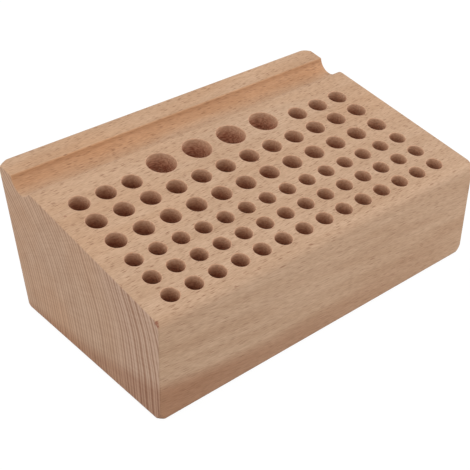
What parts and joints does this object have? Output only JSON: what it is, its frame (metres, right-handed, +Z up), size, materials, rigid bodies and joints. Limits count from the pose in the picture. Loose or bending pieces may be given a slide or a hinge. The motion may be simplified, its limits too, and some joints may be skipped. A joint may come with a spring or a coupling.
{
  "type": "wooden tool holder block",
  "caption": "Solid beech bench block with a sloped top, rows of round sockets in three sizes that hold tools upright, and a lengthwise groove behind them.",
  "frame": {"origin": "on the resting face, in the middle of the block's box", "axes": "+X along the rows to the right, +Y to the rear, +Z up"},
  "size_m": [0.24, 0.1468, 0.0893],
  "materials": {
    "beech": "matte"
  },
  "bodies": {
    "root": {"holder_block": "beech"}
  },
  "joints": []
}
